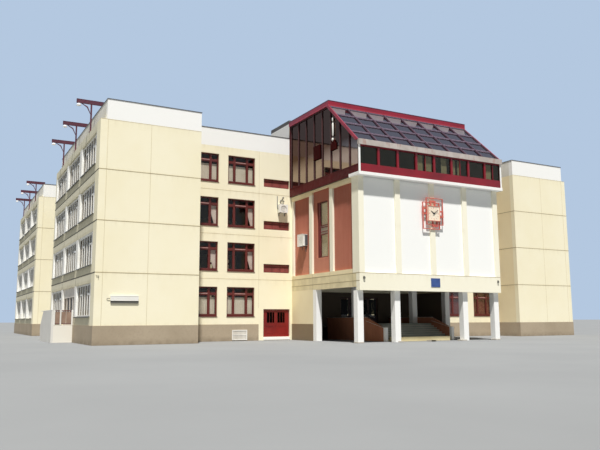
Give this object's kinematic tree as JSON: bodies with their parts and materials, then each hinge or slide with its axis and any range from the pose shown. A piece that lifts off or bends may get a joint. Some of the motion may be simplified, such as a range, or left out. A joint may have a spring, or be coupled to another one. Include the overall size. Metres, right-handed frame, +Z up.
{
  "type": "school building, half scale model",
  "caption": "Half scale school building: four storey bars with wings, hall on a columned portico, glazed attic, clock and side entrance.",
  "frame": {"origin": "on the ground, on the plane of symmetry, in line with the front of the wings", "axes": "+X to the right along the front, +Y in from the front to the rear, +Z up"},
  "size_m": [22.8, 27.875, 8.7],
  "materials": {
    "attic_glass": "reflective",
    "black_metal": "satin",
    "concrete": "rough",
    "cream_wall": "painted render",
    "crimson_metal": "satin",
    "dark_metal": "matt",
    "dial": "matt",
    "grey_metal": "satin",
    "red_metal": "satin",
    "step_stone": "rough",
    "taupe_plinth": "painted render",
    "terracotta": "painted render",
    "white_plastic": "satin",
    "white_wall": "painted render",
    "window_glass": "smooth"
  },
  "bodies": {
    "building": {"air_conditioners": "grey_metal", "attic_fascia": "crimson_metal", "attic_front_band": "red_metal", "attic_glass": "attic_glass", "attic_gutter": "grey_metal", "attic_side_frames": "red_metal", "attic_slope_frame": "red_metal", "bar_slabs": "concrete", "clock_case": "dial", "clock_frames": "crimson_metal", "copings": "dark_metal", "court_walls": "cream_wall", "cross_parapets": "white_wall", "door_bay_wall": "cream_wall", "door_surround": "cream_wall", "entrance_doors": "red_metal", "entrance_steps": "step_stone", "front_window_frames": "red_metal", "gable_walls": "cream_wall", "hall_cornice": "white_wall", "hall_flank_beams": "cream_wall", "hall_flank_panels": "terracotta", "hall_front_beam": "cream_wall", "hall_front_panels": "white_wall", "hall_posts": "cream_wall", "hall_rear_wall": "cream_wall", "hall_slabs": "concrete", "lamp_brackets": "crimson_metal", "link_walls": "cream_wall", "long_parapets": "white_wall", "penthouse_walls": "white_wall", "plinth_fronts": "taupe_plinth", "plinth_sides": "taupe_plinth", "porch_railing": "crimson_metal", "porch_screen": "white_plastic", "porch_wall": "taupe_plinth", "portico_columns": "white_wall", "portico_side_walls": "cream_wall", "recess_walls": "cream_wall", "roof_lamps": "white_plastic", "side_door_frame": "red_metal", "side_steps": "step_stone", "side_walls": "cream_wall", "side_window_frames": "white_plastic", "stair_end_posts": "white_wall", "stair_walls": "terracotta", "upper_roofs": "concrete", "window_glass": "window_glass", "wing_and_link_slabs": "concrete", "wing_return_walls": "cream_wall"},
    "side_door_left": {"side_door_left": "red_metal"},
    "side_door_right": {"side_door_right": "red_metal"},
    "hour_hand": {"hour_hand": "black_metal"},
    "minute_hand": {"minute_hand": "black_metal"}
  },
  "joints": [
    {"name": "side_door_left_hinge", "type": "hinge", "parent": "building", "child": "side_door_left", "pos_m": [-4.26417, 1.552, 0.64], "axis": [0, 0, 1], "range_deg": [-90, 0]},
    {"name": "side_door_right_hinge", "type": "hinge", "parent": "building", "child": "side_door_right", "pos_m": [-3.2425, 1.552, 0.64], "axis": [0, 0, 1], "range_deg": [0, 90]},
    {"name": "minute_hand_turn", "type": "hinge", "parent": "building", "child": "minute_hand", "pos_m": [0, -3.29, 4.41], "axis": [0, 1, 0], "continuous": true},
    {"name": "hour_hand_turn", "type": "hinge", "parent": "building", "child": "hour_hand", "pos_m": [0, -3.29, 4.41], "axis": [0, 1, 0], "continuous": true}
  ],
  "couplings": [
    {"joint": "hour_hand_turn", "follows": "minute_hand_turn", "ratio": 0.083333}
  ]
}
